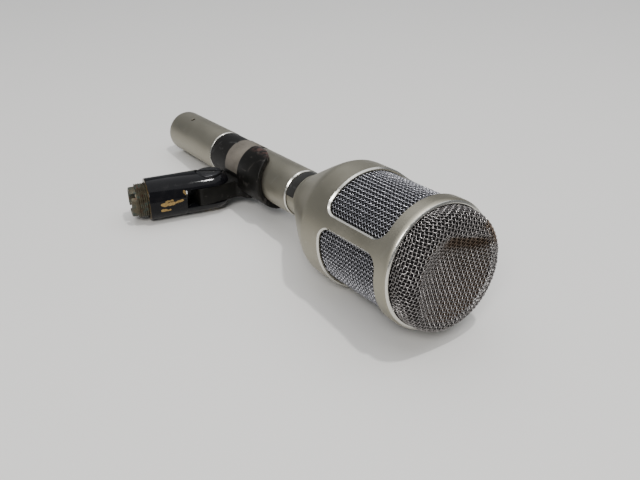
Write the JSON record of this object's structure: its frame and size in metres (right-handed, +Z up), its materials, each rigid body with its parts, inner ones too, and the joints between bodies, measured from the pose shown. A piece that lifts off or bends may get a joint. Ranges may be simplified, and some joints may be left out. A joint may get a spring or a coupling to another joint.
{
  "type": "microphone in stand clip",
  "caption": "Hand-held vocal microphone with a windowed wire-mesh head, lying in a swivel stand clip that grips its slim tube and ends in a thread adapter.",
  "frame": {"origin": "centre of the bounding box on the table that the microphone lies on", "axes": "+X along the microphone towards its head, +Z up; the clip's base points to -Y"},
  "size_m": [0.2152, 0.084, 0.0531],
  "materials": {
    "rear_tube": "satin nickel plate",
    "xlr_insert": "moulded black",
    "contact_pin_1": "gold plated",
    "contact_pin_2": "gold plated",
    "contact_pin_3": "gold plated",
    "set_screw": "dark steel",
    "output_transformer": "drawn can",
    "band_sleeve": "black anodised",
    "grip_tape": "worn grey strip",
    "front_tube": "satin nickel plate",
    "circuit_board": "glass-fibre board",
    "coupling_capacitor": "can",
    "neck_collar": "satin nickel plate",
    "label_band": "plain dark label",
    "head_cage": "satin nickel plate",
    "mesh_sleeve": "woven wire",
    "foam_sleeve": "open foam",
    "retaining_ring": "black",
    "front_mesh": "woven wire",
    "foam_front": "open foam",
    "capsule_carrier": "turned",
    "capsule_post": "turned",
    "capsule_mount": "soft black",
    "capsule_body": "turned",
    "capsule_ring": "turned",
    "diaphragm": "gold-sputtered film",
    "clip_clamp": "matt black",
    "pivot_bush": "turned",
    "swivel_base": "glossy black paint over brass",
    "swivel_screw": "black",
    "spring_washer": "plain",
    "swivel_nut": "plain",
    "thread_adapter": "tarnished"
  },
  "bodies": {
    "base": {"swivel_base": "swivel_base", "swivel_nut": "swivel_nut", "spring_washer": "spring_washer"},
    "pivot_screw": {"swivel_screw": "swivel_screw"},
    "stand_adapter": {"thread_adapter": "thread_adapter"},
    "clamp": {"clip_clamp": "clip_clamp", "pivot_bush": "pivot_bush"},
    "microphone": {"rear_tube": "rear_tube", "xlr_insert": "xlr_insert", "contact_pin_1": "contact_pin_1", "contact_pin_2": "contact_pin_2", "contact_pin_3": "contact_pin_3", "set_screw": "set_screw", "output_transformer": "output_transformer", "band_sleeve": "band_sleeve", "grip_tape": "grip_tape", "front_tube": "front_tube", "circuit_board": "circuit_board", "coupling_capacitor": "coupling_capacitor", "neck_collar": "neck_collar", "label_band": "label_band", "head_cage": "head_cage", "mesh_sleeve": "mesh_sleeve", "foam_sleeve": "foam_sleeve", "retaining_ring": "retaining_ring", "front_mesh": "front_mesh", "foam_front": "foam_front", "capsule_carrier": "capsule_carrier", "capsule_post": "capsule_post", "capsule_mount": "capsule_mount", "capsule_body": "capsule_body", "capsule_ring": "capsule_ring", "diaphragm": "diaphragm"}
  },
  "joints": [
    {"name": "clip_swivel", "type": "hinge", "parent": "base", "child": "clamp", "pos_m": [-0.03628, -0.00426, 0.00979], "axis": [-0.0902, 0.0208, 0.9957], "range_deg": [-95, 70]},
    {"name": "tube_slide", "type": "slide", "parent": "clamp", "child": "microphone", "axis": [0.9959, 0, 0.0902], "range_m": [-0.025, 0.055]},
    {"name": "pivot_screw_turn", "type": "hinge", "parent": "base", "child": "pivot_screw", "pos_m": [-0.03628, -0.00426, 0.00979], "axis": [-0.0902, 0.0208, 0.9957], "range_deg": [0, 360]},
    {"name": "adapter_turn", "type": "hinge", "parent": "base", "child": "stand_adapter", "pos_m": [-0.0419, -0.02862, 0.00979], "axis": [-0.225, -0.9744, 0], "range_deg": [0, 360]}
  ]
}
